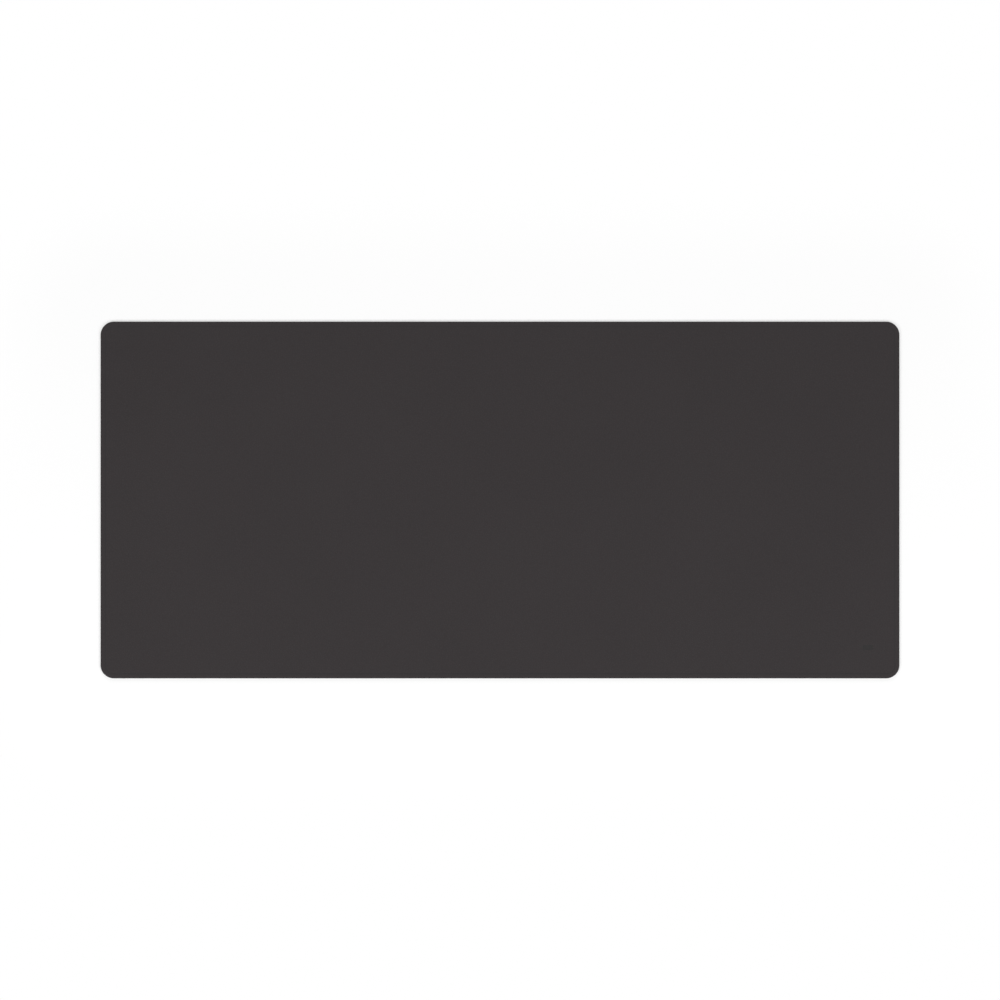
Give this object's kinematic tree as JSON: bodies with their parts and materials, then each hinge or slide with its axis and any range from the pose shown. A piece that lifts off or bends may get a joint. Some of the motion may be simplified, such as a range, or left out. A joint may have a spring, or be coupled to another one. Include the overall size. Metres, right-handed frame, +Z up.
{
  "type": "desk mat",
  "caption": "Flat rectangular desk mat with round corners: grained skin, cloth backing, felt core and suede underside bonded in layers, with a sealed edge and a pressed border crease.",
  "frame": {"origin": "centre of the underside, on the desk", "axes": "+X along the mat to the right, +Y to the back of the desk, +Z up"},
  "size_m": [0.9, 0.402, 0.0025],
  "materials": {
    "skin": "matte",
    "knit_backing": "matte",
    "bond_film": "satin",
    "felt": "matte",
    "suede": "matte",
    "edge_coat": "satin"
  },
  "bodies": {
    "root": {"base_sheet": "suede", "lower_bond_film": "bond_film", "felt_core": "felt", "upper_bond_film": "bond_film", "backing_cloth": "knit_backing", "leather_skin": "skin", "edge_coat": "edge_coat"}
  },
  "joints": []
}
